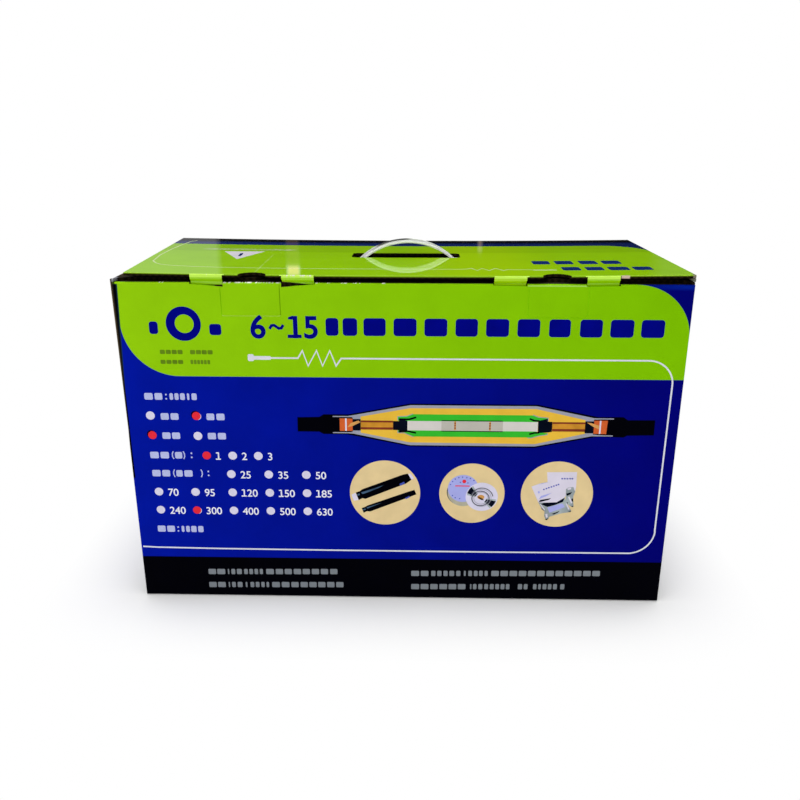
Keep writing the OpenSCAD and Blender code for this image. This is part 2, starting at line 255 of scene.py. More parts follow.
def body_print(n, front):
    """The colours printed on the body, with a painted sheen on the blue; front is the mask of its front panel."""
    green = n.shade(across(n, GREEN_L, GREEN_R), n.noise(26, 4, 0.96, 1.04))
    blue = n.shade(across(n, BLUE_L, BLUE_R), n.noise(22, 4, 0.92, 1.08, seed=3.0))
    field = n.all(n.above(n.z, FIELD_FOOT), n.any(n.above(n.x, -295), n.above(n.z, PANEL_H - 1.9)), front,
                  *(n.no(n.outside_arc(n.x, n.z, *arc)) for arc in FIELD_ARCS))
    # Painted sheen: the blue is lighter near the top of the front fold at its right end
    pale = n.all(n.between(n.z, 366.5, 380, 3), n.ranged(n.x, 230, 290, 0.0, 0.6), front)
    blue = n.mix(pale, blue, srgb(0, 36, 150))
    printed = n.mix(field, blue, green)
    return n.mix(n.below(n.z, FOOT_BAND), printed, n.shade(BLACK, n.noise(30, 3, 0.8, 1.2)))


def body_material():
    n = Material("printed_board_body")
    front = n.all(n.below(n.y, FRONT + 3.4, 0.02), n.any(n.below(n.x, 299), n.below(n.ny, -0.3, 0.1)))
    printed = body_print(n, front)
    # Outer faces carry the print; cut edges, the glued corner and the inside are bare board
    outer = n.any(n.all(n.below(n.y, FRONT + 2.9, 0.02), n.below(n.ny, -0.2, 0.1)),
                  n.all(n.above(n.y, BACK - 3.6, 0.02), n.above(n.ny, 0.2, 0.1)),
                  n.all(n.below(n.x, 3.4 - HALF, 0.02), n.below(n.nx, -0.2, 0.1)),
                  n.all(n.above(n.x, HALF - 3.4, 0.02), n.above(n.nx, 0.2, 0.1)),
                  n.all(n.above(n.z, PANEL_H - 3.6, 0.02), n.above(n.nz, 0.4, 0.1),
                        n.below(n.z, LID_UNDER - 0.1, 0.02)),
                  n.all(n.below(n.z, 3.4, 0.02), n.below(n.nz, -0.2, 0.1)))
    seam = n.all(n.below(n.x, -297.25, 0.02), n.below(n.ny, -0.12, 0.04), n.above(n.z, 150))
    inked = n.all(outer, n.no(seam))
    cut, liner = cut_board(n)
    bare = n.mix(n.above(n.math("ABSOLUTE", n.nz), 0.9, 0.02), cut, liner)
    # The glued corner's bare edge gets painted shade: darker on its inner half, and much darker towards its foot
    raw = n.mix(n.below(n.x, -298.8, 1.2), srgb(22, 18, 14), srgb(84, 72, 50))
    bare = n.mix(seam, bare, n.shade(raw, n.ranged(n.z, 200, 330, 0.12, 1.0)))
    colour = n.mix(inked, bare, printed)
    # Lines pressed into the front beside the locks: painted lighter inside, against their shade, but one painted
    # darker as a shadow line, and with a painted highlight along the left lock's foot
    inside = n.all(n.between(n.y, FRONT + 0.04, FRONT + 0.9, 0.02), n.below(n.z, PANEL_H - 2.4, 0.2),
                   n.above(n.z, 300), n.below(n.math("ABSOLUTE", n.x), 290))
    colour = n.mix(inside, colour, n.shade(printed, n.number(n.between(n.x, -140, -110), 1.35, 0.8)))
    feet = n.all(inside, n.below(n.z, PANEL_H - 34.2, 0.1), n.below(n.x, 0))
    colour = n.mix(feet, colour, srgb(214, 240, 120))
    # The flaps folded in under the lid, with painted shade just behind the fold, where the lid's edge overhangs
    # them
    flap = n.all(n.above(n.z, PANEL_H - 0.5, 0.05), n.above(n.nz, 0.9, 0.02), n.above(n.y, FRONT + 3.6, 0.2))
    inner = n.mix(n.above(n.y, FRONT + 26, 16), srgb(44, 38, 28), srgb(90, 72, 48))
    colour = n.mix(flap, colour, n.shade(inner, n.noise(300, 3, 0.8, 1.2)))
    # Painted shade of a dark gap at the panel's left end, widening towards the top, with a teal edge where the
    # blue print lies in that shade
    past = n.minus(n.x, n.math("MULTIPLY_ADD", n.z, GAP_LEAN, -HALF - GAP_FOOT * GAP_LEAN))
    gap = n.all(n.below(past, 0.6, 0.5), n.above(n.x, -297.4, 0.1), front, n.no(seam),
                n.between(n.z, GAP_FOOT, PANEL_H - 1.8, 1))
    colour = n.mix(gap, colour, n.mix(n.above(past, -0.5, 0.9), srgb(2, 6, 14), srgb(24, 46, 66)))
    # Grey on the top of the left front corner, darker at its outer end, and a worn spot beside it
    on_top = n.above(n.z, PANEL_H + 0.6)
    grey = n.shade(srgb(140, 140, 150), n.noise(500, 2, 0.4, 1.4))
    corner = n.all(n.below(n.x, -295.2, 1.5), on_top, n.below(n.y, FRONT + 12, 2))
    colour = n.mix(corner, colour, n.mix(n.above(n.x, -298.6, 0.5), srgb(54, 50, 24), grey))
    worn = n.all(n.between(n.x, -290.4, -288.4, 0.4), n.between(n.y, FRONT + 3.2, FRONT + 7, 0.6), on_top)
    colour = n.mix(worn, colour, srgb(220, 222, 216))
    # Ink cracked along the front fold, and a painted highlight along the crease under it at the right lock
    where = n.any(n.within(n.x, ((-184, -122), (-96, -84), (-250, -246)), 1),
                  n.all(cracks(n, 130, 0.6, 0.1, 5.0), n.between(n.x, -84, -16, 1)))
    fold = n.all(n.above(n.z, PANEL_H - 0.8, 0.2), n.between(n.y, FRONT + 0.9, FRONT + 5.5, 0.2))
    colour = n.mix(n.all(cracks(n, 480, 0.5, 0.15), where, fold), colour, srgb(236, 236, 228))
    crease_highlight = n.all(n.between(n.z, PANEL_H - 2.1, PANEL_H - 1.1, 0.4), n.between(n.x, 130, 191, 1),
                   n.below(n.y, FRONT + 3.4, 0.1))
    colour = n.mix(n.scaled(crease_highlight, 0.35), colour, srgb(210, 240, 150))
    return n.finish(colour, n.number(inked, 0.85, 0.5), Normal=gloss(n), Coat_Weight=0.005,
                    Coat_Roughness=0.15, Specular_IOR_Level=0.01)


def lid_print_colours(n):
    """The colours printed on the lid, with a painted reflection and painted highlights."""
    green = n.shade(across(n, LID_L, LID_R), n.noise(26, 4, 0.96, 1.04, seed=1.0))
    blue = n.shade(across(n, LID_BLUE_L, LID_BLUE_R), n.noise(22, 4, 0.92, 1.08, seed=2.0))
    # Yellower right of the handle, darker at the back as a painted reflection, scuffed at the left, and a painted
    # highlight along the front
    green = n.mix(n.scaled(n.between(n.x, 30, 150, 70), 0.6), green, srgb(172, 212, 0))
    green = n.shade(green, n.number(n.above(n.y, LID_SHADE, 4), 1.0, 0.88))
    scuff = n.all(n.between(n.y, 36, 46, 4), n.between(n.x, -245, -135, 8),
                  n.noise(260, 3, -0.4, 1.2, stretch=(1, 3, 1), seed=7.0))
    green = n.mix(n.math("MULTIPLY", scuff, 0.8, clamp=True), green, WORN)
    front_highlight = n.all(n.below(n.y, EDGE + 2.2, 0.8), n.above(n.z, LID_UNDER + 1))
    green = n.mix(front_highlight, green, srgb(186, 232, 70))
    # A crease in the film
    off = n.apart(n.math("MULTIPLY_ADD", n.y, CREASE_LEAN, n.x), CREASE_X)
    crease = n.all(n.below(off, 0.8, 0.9), n.between(n.y, -117, -1, 20), n.noise(60, 2, 0.0, 0.5, seed=6.0))
    green = n.mix(crease, green, srgb(214, 240, 150))
    band = n.any(n.above(n.y, LID_BAND, 0.6), n.outside_arc(n.x, n.y, *LID_ARC, 0.6))
    printed = n.mix(n.above(n.y, 106, 18), n.mix(band, green, blue), BLACK)
    # A painted highlight along the fold at the back
    return n.mix(n.scaled(n.above(n.y, 129.5, 3), 0.6), printed, srgb(112, 112, 108))


def lid_material():
    n = Material("printed_board_lid")
    printed = lid_print_colours(n)
    cut, liner = cut_board(n)
    on_edge = n.all(n.between(n.y, EDGE - 0.02, EDGE + 0.02, 0.01), n.below(n.ny, -0.98, 0.01))
    # The ink wraps a little way over the cut front edge, above an olive line; both follow the sag
    rim = n.minus(n.z, n.scaled(n.math("MULTIPLY", n.x, n.x), 0.5 / SAG_R))
    rim = n.minus(rim, n.scaled(n.above(n.math("ABSOLUTE", n.x), 205, 20), 0.3))
    for depth, ink_colour in ((1.5, srgb(88, 104, 24)), (0.9, srgb(140, 196, 20))):
        cut = n.mix(n.all(on_edge, n.above(rim, LID_TOP - depth, 0.2)), cut, ink_colour)
    # Below a level that rises on one of them, the legs of the locks take the dark colour of cut board, as painted
    # shade where they go down into the slots
    rise = n.all(n.between(n.x, -126, -88), n.ranged(n.x, -122, -92, 1.0, 0.2))
    level = n.math("MULTIPLY_ADD", rise, 3.6, 368.4)
    away = [n.apart(n.x, at) for at in LOCKS]
    legs = n.all(n.below(n.y, -120, 0.5), n.below(n.ny, -0.25, 0.1), n.no(on_edge),
                 n.any(*(n.below(a, LOCK_HALF) for a in away)), *(n.above(a, NOTCH_HALF) for a in away),
                 n.above(n.minus(n.z, level), 0, 0.6))
    outer = n.any(n.above(n.nz, 0.4, 0.1), legs, n.above(n.y, BACK - 0.05, 0.02))
    # The lid's cut front edge is darkened further, as painted shade
    bare = n.mix(n.below(n.nz, -0.6, 0.1), n.mix(on_edge, cut, n.shade(cut, 0.8)), liner)
    colour = n.mix(outer, bare, printed)
    # Ink cracked over the folds of the left lock
    where = n.within(n.x, ((-120, -92), (-216, -211), (-200, -198)), 1)
    fold = n.all(n.between(n.y, -134.2, -131.6, 0.3), n.above(n.z, LID_UNDER + 1.0, 0.3))
    colour = n.mix(n.all(cracks(n, 460, 0.5, 0.1, 2.0), where, fold), colour, WORN)
    # A worn spot beside the right lock, and grey over the tip of the right front corner
    spot = n.all(n.between(n.x, 224.5, 233, 1), n.below(n.y, EDGE + 2.5, 0.5), n.above(n.z, 377.4, 0.8))
    colour = n.mix(n.scaled(spot, 0.85), colour, srgb(214, 188, 172))
    tip = n.all(n.above(n.x, 296.9, 0.6), n.below(n.y, EDGE + 8, 4), n.above(n.z, 377))
    colour = n.mix(n.scaled(tip, 0.8), colour, srgb(134, 126, 112))
    return n.finish(colour, n.number(outer, 0.85, 0.35), Normal=gloss(n), Coat_Weight=n.scaled(outer, 0.75),
                    Coat_Roughness=0.03, Specular_IOR_Level=0.01)


def strap_material():
    n = Material("strap_plastic")
    upper = n.above(n.nz, 0.6, 0.2)
    colour = n.shade(srgb(232, 236, 226), n.noise(90, 3, 0.93, 1.03))
    # Painted shade on the strap's upper faces towards the left
    colour = n.shade(colour, n.number(n.all(upper, n.below(n.x, 20, 40)), 1.0, 0.82))
    # Painted shade: a dark line along the strap's back edge
    aside = n.math("MULTIPLY_ADD", n.x, -STRAP_TURN, n.y)
    rim = n.all(n.above(aside, 6, 1), n.between(n.x, -33, 8, 8), upper)
    colour = n.mix(rim, colour, srgb(8, 8, 8))
    return n.finish(colour, n.noise(60, 2, 0.28, 0.42), Normal=n.bump(n.noise(500, 3, 0, 1), 0.00006, 0.5),
                    Subsurface_Weight=n.no(rim), Subsurface_Radius=(0.02, 0.02, 0.018), Subsurface_Scale=1.0)


def ink(name, rgb, spread=0.05, coat=0.005):
    n = Material("ink_" + name)
    colour = n.shade(srgb(*rgb), n.noise(60, 4, 1 - spread, 1 + spread))
    return n.finish(colour, n.noise(200, 2, 0.45, 0.55), Normal=gloss(n), Coat_Weight=coat,
                    Coat_Roughness=0.15 if coat < 0.5 else 0.03, Specular_IOR_Level=0.01)


# Each ink's name and colour, and where they differ its spread and coat
INKS = {name: ink(name, rgb, *more) for name, rgb, *more in (
    ("white", (228, 228, 238)), ("line", (212, 213, 222)), ("soft", (176, 182, 222)),
    ("faint", (122, 128, 134)), ("pale", (210, 206, 226)), ("paper", (212, 206, 222)),
    ("thin_white", (206, 226, 160), 0.05, 0.75), ("pale_gloss", (226, 222, 230), 0.05, 0.75),
    ("navy_gloss", (10, 40, 110), 0.1, 0.75), ("navy", (0, 4, 122), 0.1), ("red", (222, 44, 58)),
    ("tan", (220, 196, 146)), ("yellow", (224, 180, 60)), ("gold", (196, 136, 44), 0.2),
    ("sand", (206, 150, 84), 0.15), ("umber", (120, 50, 34), 0.2), ("leaf", (52, 180, 46)),
    ("brick", (200, 92, 44)), ("grey", (150, 152, 166)), ("stone", (170, 166, 148), 0.15),
    ("foil", (150, 160, 162), 0.3), ("dark", (58, 60, 72)), ("ebony", (4, 8, 24), 0.3),
    ("black", (0, 0, 5), 0.2), ("core", (206, 202, 197), 0.03), ("core_shade", (181, 178, 168), 0.03),
    ("lilac", (162, 166, 224)), ("mark", (64, 78, 170), 0.15), ("slate", (62, 86, 112), 0.4),
    ("olive", (92, 126, 22), 0.15))}


def arc(cx, cz, r, a0, a1, steps=16, rz=None):
    """Points along an arc of a circle, or of an oval where rz is its other radius."""
    angles = [math.radians(a0 + (a1 - a0) * i / steps) for i in range(steps + 1)]
    return [(cx + r * math.cos(a), cz + (rz or r) * math.sin(a)) for a in angles]


def disc(cx, cz, r, steps=48, rz=None):
    return arc(cx, cz, r, 0, 360 - 360 / steps, steps - 1, rz)


def rounded(x0, x1, z0, z1, r, steps=5):
    """Outline of a rectangle with round corners."""
    r = min(r, (x1 - x0) / 2, (z1 - z0) / 2)
    corners = ((x1 - r, z1 - r, 0), (x0 + r, z1 - r, 90), (x0 + r, z0 + r, 180), (x1 - r, z0 + r, 270))
    return [p for cx, cz, a in corners for p in arc(cx, cz, r, a, a + 90, steps)]


def stroke(points, width):
    """Outline of a line of the given width along points."""
    left, right = [], []
    for i, p in enumerate(points):
        a, b = points[max(i - 1, 0)], points[min(i + 1, len(points) - 1)]
        t1 = Vector((p[0] - a[0], p[1] - a[1])) if i else Vector((b[0] - p[0], b[1] - p[1]))
        t2 = Vector((b[0] - p[0], b[1] - p[1])) if i < len(points) - 1 else t1
        t1.normalize()
        t2.normalize()
        n1, n2 = Vector((-t1.y, t1.x)), Vector((-t2.y, t2.x))
        m = n1 + n2
        m *= width / max(m.dot(n1), 0.5) / 2
        left.append((p[0] + m.x, p[1] + m.y))
        right.append((p[0] - m.x, p[1] - m.y))
    return left + right[::-1]


def put(name, data):
    """A new object with this data, in the scene."""
    obj = bpy.data.objects.new(name, data)
    bpy.context.scene.collection.objects.link(obj)
    return obj


def to_mesh(data, name):
    obj = put(name, data)
    mesh = bpy.data.meshes.new_from_object(obj.evaluated_get(bpy.context.evaluated_depsgraph_get()))
    bpy.data.objects.remove(obj)
    return mesh


def filled(loops):
    """A thin filled mesh in millimetres from closed outlines that don't cross; inner ones are holes."""
    curve = bpy.data.curves.new("outline", "CURVE")
    curve.dimensions = "2D"
    curve.fill_mode = "BOTH"
    curve.extrude = LAYER / 2
    for loop in loops:
        spline = curve.splines.new("POLY")
        spline.points.add(len(loop) - 1)
        for point, (a, b) in zip(spline.points, loop):
            point.co = (a, b, 0, 1)
        spline.use_cyclic_u = True
    return to_mesh(curve, "outline")


def figures(text, x, z, height, bold=0.0, step=0.0):
    """Plain numbers, a mesh for each, with their left edge at x and their foot at z. A 9 is a turned 6."""
    out = []
    for i, sign in enumerate(text):
        curve = bpy.data.curves.new("figures", "FONT")
        curve.body = "6" if sign == "9" else sign
        curve.size = height / FIGURE_SHARE
        curve.offset = bold
        curve.extrude = LAYER / 2
        mesh = to_mesh(curve, "figures")
        if sign == "9":
            xs, zs = [v.co.x for v in mesh.vertices], [v.co.y for v in mesh.vertices]
            mesh.transform(Matrix.Translation((min(xs) + max(xs), min(zs) + max(zs), 0))
                           @ Matrix.Rotation(math.pi, 4, "Z"))
        mesh.transform(Matrix.Translation((x + step * i, z, 0)))
        out.append(mesh)
    return out


def foot_and_flag(x, z, height):
    """Outlines that make a plain stroke into a 1; x and z are its figure's left edge and foot."""
    k = height / 24
    shapes = [rounded(-7.4, 7.3, 0, 3.7, 0.6), [(-6.2, 20.1), (-6.2, 22.3), (-1, 24.1), (-1, 19.7)]]
    return [[(x + (a + 7.2) * k, z + b * k) for a, b in shape] for shape in shapes]


def print_on(name, meshes, colour, level, on="front"):
    """Joins thin meshes and lays them on the front panel or the lid as the level-th layer of ink."""
    bm = bmesh.new()
    for mesh in meshes:
        bm.from_mesh(mesh)
        bpy.data.meshes.remove(mesh)
    lift = LAYER * (level - 0.4)
    if on == "front":
        bm.transform(Matrix.Translation((0, FRONT - lift, 0)) @ Matrix.Rotation(math.pi / 2, 4, "X"))
    else:
        # Cut across every 25 mm, so that the layer can follow the lid's sag
        for x in range(-275, 276, 25):
            geom = bm.verts[:] + bm.edges[:] + bm.faces[:]
            bmesh.ops.bisect_plane(bm, geom=geom, dist=1e-4, plane_co=(x, 0, 0), plane_no=(1, 0, 0))
        for v in bm.verts:
            v.co.z += LID_TOP + lift + SAG_R - math.sqrt(SAG_R ** 2 - v.co.x ** 2)
    bm.transform(Matrix.Scale(MM, 4))
    mesh = bpy.data.meshes.new(name)
    bm.to_mesh(mesh)
    bm.free()
    mesh.materials.append(INKS[colour])
    obj = put(name, mesh)
    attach(obj, "carton" if on == "front" else "lid")


def each(*loops):
    """A filled mesh from each outline."""
    return [filled([loop]) for loop in loops]


def frame_line():
    """The pale line round the front's field of print, with its zigzag."""
    zig = [(-109, 291), (-104, 299.3), (-98.4, 282.5), (-89, 299.4), (-83, 282.6), (-75, 299.5),
           (-68.6, 282.8), (-63, 291)]
    line = [(-138.4, 291)] + zig + [(261, 291)]
    line += arc(261, 264, 27, 85, 5, 14) + [(287.3, 92)] + arc(258.5, 91.5, 29.2, -5, -85, 14)
    line += [(100, 61.8), (-70, 61.7), (-210, 62.1), (-280, 62.9), (-297.5, 63.7)]
    return stroke(line, 1.75)


def blocks(z, h, starts, wide=0.0, r=1.6):
    """A row of plain blocks; starts holds left edges, or pairs of both edges where wide is 0."""
    return [rounded(*(a if wide == 0 else (a, a + wide)), z - h / 2, z + h / 2, r) for a in starts]


def front_print():
    print_on("line_front", [filled([frame_line()])], "line", 1)
    print_on("line_head", each(rounded(-162.3, -155.8, 287.4, 295, 1.6)), "line", 1)
    print_on("line_neck", each(rounded(-156.4, -137.9, 289, 293, 0.8)), "line", 2)
    # Blocks, figures and a ring on the green field
    words = [(-78.6, -65.2), (-60.8, -45.6), (-39, -15.8), (-7.6, 16.4), (24.6, 48.4), (57, 80.2), (88.8, 112.6),
             (121.4, 144.8), (154.2, 176.4), (186.2, 209.4), (217.6, 241.8), (249.4, 273.4)]
    print_on("headline", each(*blocks(325.2, 19, words, r=3.5), *blocks(323, 13.5, [(-264.6, -255.2)], r=3),
                              *blocks(321.5, 12, [(-201, -188.4)], r=3),
                              stroke([(-137.6, 322.6), (-135.4, 326.2), (-132.6, 326.6), (-127.8, 323.2),
                                      (-125, 323.6), (-122.9, 327)], 3)), "navy", 1)
    print_on("headline_figures", figures("6", -158.4, 313, 25, 0.75) + figures("1", -118.6, 313.4, 24, 0.75)
             + figures("5", -102.2, 313.2, 24.2, 0.75), "navy", 1)
    print_on("headline_foot", each(*foot_and_flag(-118.6, 312.9, 24)), "navy", 2)
    print_on("emblem", [filled([disc(-228, 327.5, 18.5), disc(-227, 327.5, 10)])], "navy", 1)
    caps = [-255.6, -249.3, -243, -236.8]
    print_on("captions", each(*blocks(296.8, 4.6, caps + [-223.4, -217.2, -211, -204.8], 5.4, 1),
                              *blocks(285.8, 4.4, [x - 0.3 for x in caps], 5.4, 1),
                              *blocks(285.9, 4.6, [-223.8, -220.2, -216.6, -213, -209.4, -205.8], 2.9, 0.8)),
             "olive", 1)
    # Choices at the left
    grid = (-272.3, -230.9, -188.9, -147.0, -105.0)
    pale = [(-273, 224.8), (-222.7, 201.4), (-185.9, 178.3), (-157.4, 178.3)]
    pale += [(x, 156) for x in grid[2:]] + [(x, 133.6) for x in grid]
    pale += [(x, 111) for x in grid if x != grid[1]]
    red = [(-222.6, 224.8), (-273, 201.9), (-214.8, 178.3), (grid[1], 111)]
    print_on("dots_pale", each(*(disc(x, z, 4.8, 28) for x, z in pale)), "pale", 1)
    print_on("dots_shade", each(*(disc(x - 0.9, z + 0.9, 5, 28) for x, z in red[:2])), "black", 1)
    print_on("dots_pale_under", each(*(disc(x + 1.1, z - 0.4, 4.2, 28) for x, z in (red[0], red[3]))), "pale", 2)
    print_on("dots_red", each(*(disc(x, z, 4.7, 28) for x, z in red)), "red", 3)
    rows = [(246.9, 7.6, [(-277.4, -268.2), (-266.2, -257.8), (-249.9, -246.1), (-244.5, -240.1), (-238.5, -233.3),
                          (-230.9, -228.5), (-226, -220.4)]),
            (223.9, 7.6, [(-261.7, -252.9), (-250.9, -242.2), (-211.6, -203), (-200.7, -191.8)]),
            (201.4, 7.6, [(-262, -253), (-251.3, -242.4), (-211.8, -202.8), (-200.7, -191.8)]),
            (178.2, 7.8, [(-277.8, -268.3), (-266.3, -256.9), (-250.1, -242.1)]),
            (156.3, 7.8, [(-277.6, -268.3), (-266.4, -257.6), (-250.6, -243.5), (-241.6, -232.4)]),
            (86.9, 7.8, [(-278.2, -269.2), (-267.3, -258.4), (-250.7, -247.6), (-245.5, -241.3), (-239.7, -233.6),
                         (-231.7, -225.6)])]
    loops = [b for z, h, spans in rows for b in blocks(z, h, spans)]
    for x, z in ((-253.7, 246.9), (-231.7, 178.5), (-214.5, 156.8), (-254.6, 86.9)):
        loops += [disc(x, z + 2.2, 1, 16), disc(x, z - 2.6, 1, 16)]
    for x, z, side in ((-252.4, 178.3, -1), (-240.1, 178.3, 1), (-253, 156.4, -1), (-222.1, 156.6, 1)):
        loops += [stroke([(x - side * 0.7, z + 4.6), (x + side * 0.6, z + 1.8), (x + side * 0.6, z - 1.8),
                          (x - side * 0.7, z - 4.6)], 1.2)]
    print_on("blocks_left", each(*loops), "soft", 1)
    numbers = [(("1", "2", "3"), (-214.8, -185.9, -157.4), 178.3),
               (("25", "35", "50"), grid[2:], 156),
               (("70", "95", "120", "150", "185"), grid, 133.6),
               (("240", "300", "400", "500", "630"), grid, 111)]
    print_on("numbers", [mesh for row, xs, z in numbers for t, x in zip(row, xs)
                         for mesh in figures(t, x + 10, z - 4.9, 9.1, 0.12, 6.15)], "white", 1)
    ones = [(x + 10, z - 5) for row, xs, z in numbers for t, x in zip(row, xs) if t[0] == "1"]
    print_on("numbers_feet", [mesh for x, z in ones for mesh in each(*foot_and_flag(x, z, 9.1))], "white", 2)
    feet = [(31.6, [(-224, -215.2), (-213.7, -204.4), (-201.2, -199.7), (-197.2, -192.7), (-190.7, -184.9),
                    (-182.2, -177.9), (-176.1, -171.8), (-170, -165.9), (-163.9, -160.2), (-156.4, -147.4),
                    (-145.2, -136.7), (-134.7, -126.4), (-124.2, -115.6), (-113.7, -105.3), (-103.1, -94.6),
                    (-92.6, -84.1), (-81.7, -73.2)]),
            (14.2, [(-224.4, -215.7), (-214, -204.9), (-201.4, -199.9), (-197.5, -193.1), (-190.9, -185.1),
                    (-181.4, -179.4), (-175.8, -171.4), (-169.6, -165.2), (-163, -159.1), (-156.9, -153.9),
                    (-150.3, -141.2), (-139, -129.9), (-127.7, -119.1), (-116.9, -108.3), (-106.6, -98),
                    (-96.2, -87.7), (-85.7, -77.1), (-75.1, -66.5)]),
            (32.6, [(12.5, 21.7), (23.7, 32.6), (35.7, 40.7), (42.7, 47.7), (49.9, 54.8), (56.8, 62.3),
                    (64.7, 69.6), (73.5, 75.7), (78.6, 83), (85.1, 89.5), (91.1, 95.4), (97.5, 101.1)]
             + [(105.2 + 10.57 * i, 114 + 10.57 * i) for i in range(12)]),
            (15, [(12.6, 21.9), (23.6, 32.8), (34.8, 43.5), (45.5, 54.5), (56.2, 65.2), (67, 75.9),
                  (81.2, 82.8), (84.6, 88.7), (90.7, 95.5), (97.7, 102.2), (104.2, 108.7), (110.5, 115),
                  (116.7, 121.2), (122.8, 127), (136.7, 141.7), (143.6, 148), (154.3, 158.3), (160.3, 163.4),
                  (165.4, 169.9), (171.5, 175.6), (177.5, 182), (185.8, 190.6)])]
    rise = 0.014        # slope of these rows
    print_on("blocks_foot", [mesh for z, spans in feet for a, b in spans
                             for mesh in each(rounded(a, b, z - 3.5 + rise * (a - spans[0][0]),
                                                      z + 3.5 + rise * (a - spans[0][0]), 1.2))], "faint", 1)


def diagram():
    """A layered spindle shape between two dark rods, in plain fields of colour."""
    print_on("rods", each([(-112.5, 207.8), (-88.9, 207.8), (-84.3, 205.2), (-58.4, 205), (10.3, 191.5),
                           (146.2, 191), (213.4, 204.9), (242, 204.2), (245.7, 206.4), (274.4, 207),
                           (274.2, 224.5), (244.8, 224.3), (239.9, 227.8), (213.1, 227.5), (147.2, 241.1),
                           (10, 241.1), (-56.4, 228.2), (-83.6, 228), (-88.3, 225), (-112.3, 224.4)]), "black", 1)
    print_on("spindle_skin", each([(-57, 226.4), (-51.8, 227.3), (10.8, 239.4), (146.5, 239.4), (208.6, 226.3),
                                   (217, 226.2), (217, 225), (208.6, 224.6), (208.6, 207.4), (218, 206.6),
                                   (218, 205.5), (210.2, 206), (146.1, 192.8), (10.3, 193), (-51.4, 205.9),
                                   (-57, 206.2), (-52, 208.6), (-52, 224.4)]), "grey", 2)
    print_on("spindle_wires", each(rounded(-73.8, -50, 225.1, 226.3, 0.4), rounded(-74, -50, 206.3, 207.5, 0.4),
                                   rounded(205, 229.8, 225, 226.2, 0.4), rounded(206, 230.2, 205.4, 206.6, 0.4)),
             "grey", 3)
    print_on("spindle_fill", each([(-43.4, 225.8), (10.3, 236), (146, 236.2), (199.4, 224.1), (200, 208.2),
                                   (146.6, 195.6), (10.3, 196.2), (-43.5, 207.2)]), "yellow", 3)
    print_on("spindle_leaf", each([(-3, 225.9), (7, 226.4), (13.5, 229.1), (142.5, 228.9), (148.8, 226.4),
                                   (158.8, 225.7), (159.1, 222), (148, 222), (148, 209.6), (159.1, 208.4),
                                   (159.2, 207.2), (150, 205.7), (142.5, 203.3), (14.1, 203.2), (4, 207.8),
                                   (-3, 208), (-3, 210.6), (7.4, 210.6), (7.4, 221.4), (-3, 221.4)]), "leaf", 4)
    print_on("spindle_rims", each(stroke([(-3.2, 221.8), (-3.2, 226.2), (6.8, 226.8), (13.5, 229.6)], 0.8),
                                  stroke([(-3.2, 210.2), (-3.2, 207.4), (4, 207.2), (14, 202.7)], 0.8),
                                  stroke([(142.5, 229.4), (149, 227), (159.2, 226), (159.4, 222.4)], 0.8),
                                  stroke([(138, 202.8), (142.5, 202.8), (150, 205.2), (159.4, 206.8),
                                          (159.4, 208.6)], 0.8)), "grey", 5)
    print_on("spindle_bricks", each([(-66.3, 223.6), (-52.3, 223.4), (-52.3, 209.2), (-66.3, 209)],
                                    [(208.9, 223.4), (223.4, 223.6), (222.8, 208), (208.9, 208.4)]), "brick", 4)
    print_on("spindle_joints", each(rounded(-60.4, -58.7, 209.1, 223.6, 0.3),
                                    rounded(214.9, 216.6, 208.2, 223.4, 0.3)), "pale", 5)
    print_on("spindle_bands", each(rounded(-52.1, -43.5, 209.7, 222.9, 0.5),
                                   rounded(199.4, 209, 208.9, 222.6, 0.5),
                                   [(-8.2, 221), (-1.9, 221), (-1.5, 223.8), (7.4, 221.6), (7.4, 208.5),
                                    (-1.5, 207.8), (-1.9, 210.4), (-8.2, 210.8)],
                                   [(148.6, 222.6), (158.9, 225.2), (159.1, 222), (164, 221.6), (164, 210),
                                    (159.1, 209.3), (149, 208.6)]), "ebony", 6)
    print_on("spindle_wings", each(stroke([(-1.9, 223.2), (9.4, 223.2), (16.9, 225.6)], 1.9),
                                   stroke([(-1.9, 208.6), (7.9, 209.4), (16.8, 207.4)], 1.9),
                                   stroke([(139.4, 225), (144.4, 222.9), (150, 222.5)], 1.9),
                                   stroke([(139.7, 207.1), (145.2, 208.7), (150.4, 209)], 1.9)), "black", 7)
    print_on("spindle_core", each(rounded(7.4, 148.6, 210.4, 221.3, 0.4)), "core", 6)
    print_on("spindle_sleeve", each([(44.3, 220.9), (110.8, 221), (110.9, 210.7), (44.3, 210.6)]), "core_shade", 7)
    print_on("spindle_edges", each(rounded(44.2, 110.6, 221.5, 222.4, 0.3), rounded(44.2, 111, 209.4, 210.3, 0.3)),
             "black", 7)
    print_on("spindle_rings", each(rounded(58.2, 60, 211.2, 221.2, 0.3), rounded(96, 97.8, 211, 221, 0.3)),
             "gold", 8)
    print_on("spindle_specks", each(*(rounded(x, x + 1.5, z, z + 1.7, 0.3) for x in (58.3, 96.1)
                                      for z in (212.6, 215.6, 218.2))), "umber", 9)
    print_on("spindle_umber", each(rounded(-43.3, -8.3, 210.9, 221.4, 0.3),
                                   rounded(164.2, 200, 210.6, 221.4, 0.3)), "umber", 6)
    print_on("spindle_gold", each(rounded(-43.2, -8.4, 213.6, 219.3, 0.3),
                                  rounded(164.4, 199.4, 213.6, 219.4, 0.3)), "gold", 7)
    print_on("spindle_tails", each([(-58, 213.4), (-54.3, 218.3), (-45.9, 221.2), (-43.6, 219.4), (-52, 215)],
                                   [(201, 221.3), (206, 220.6), (214.7, 217.7), (214.3, 213.6), (207.9, 216.6)]),
             "sand", 7)


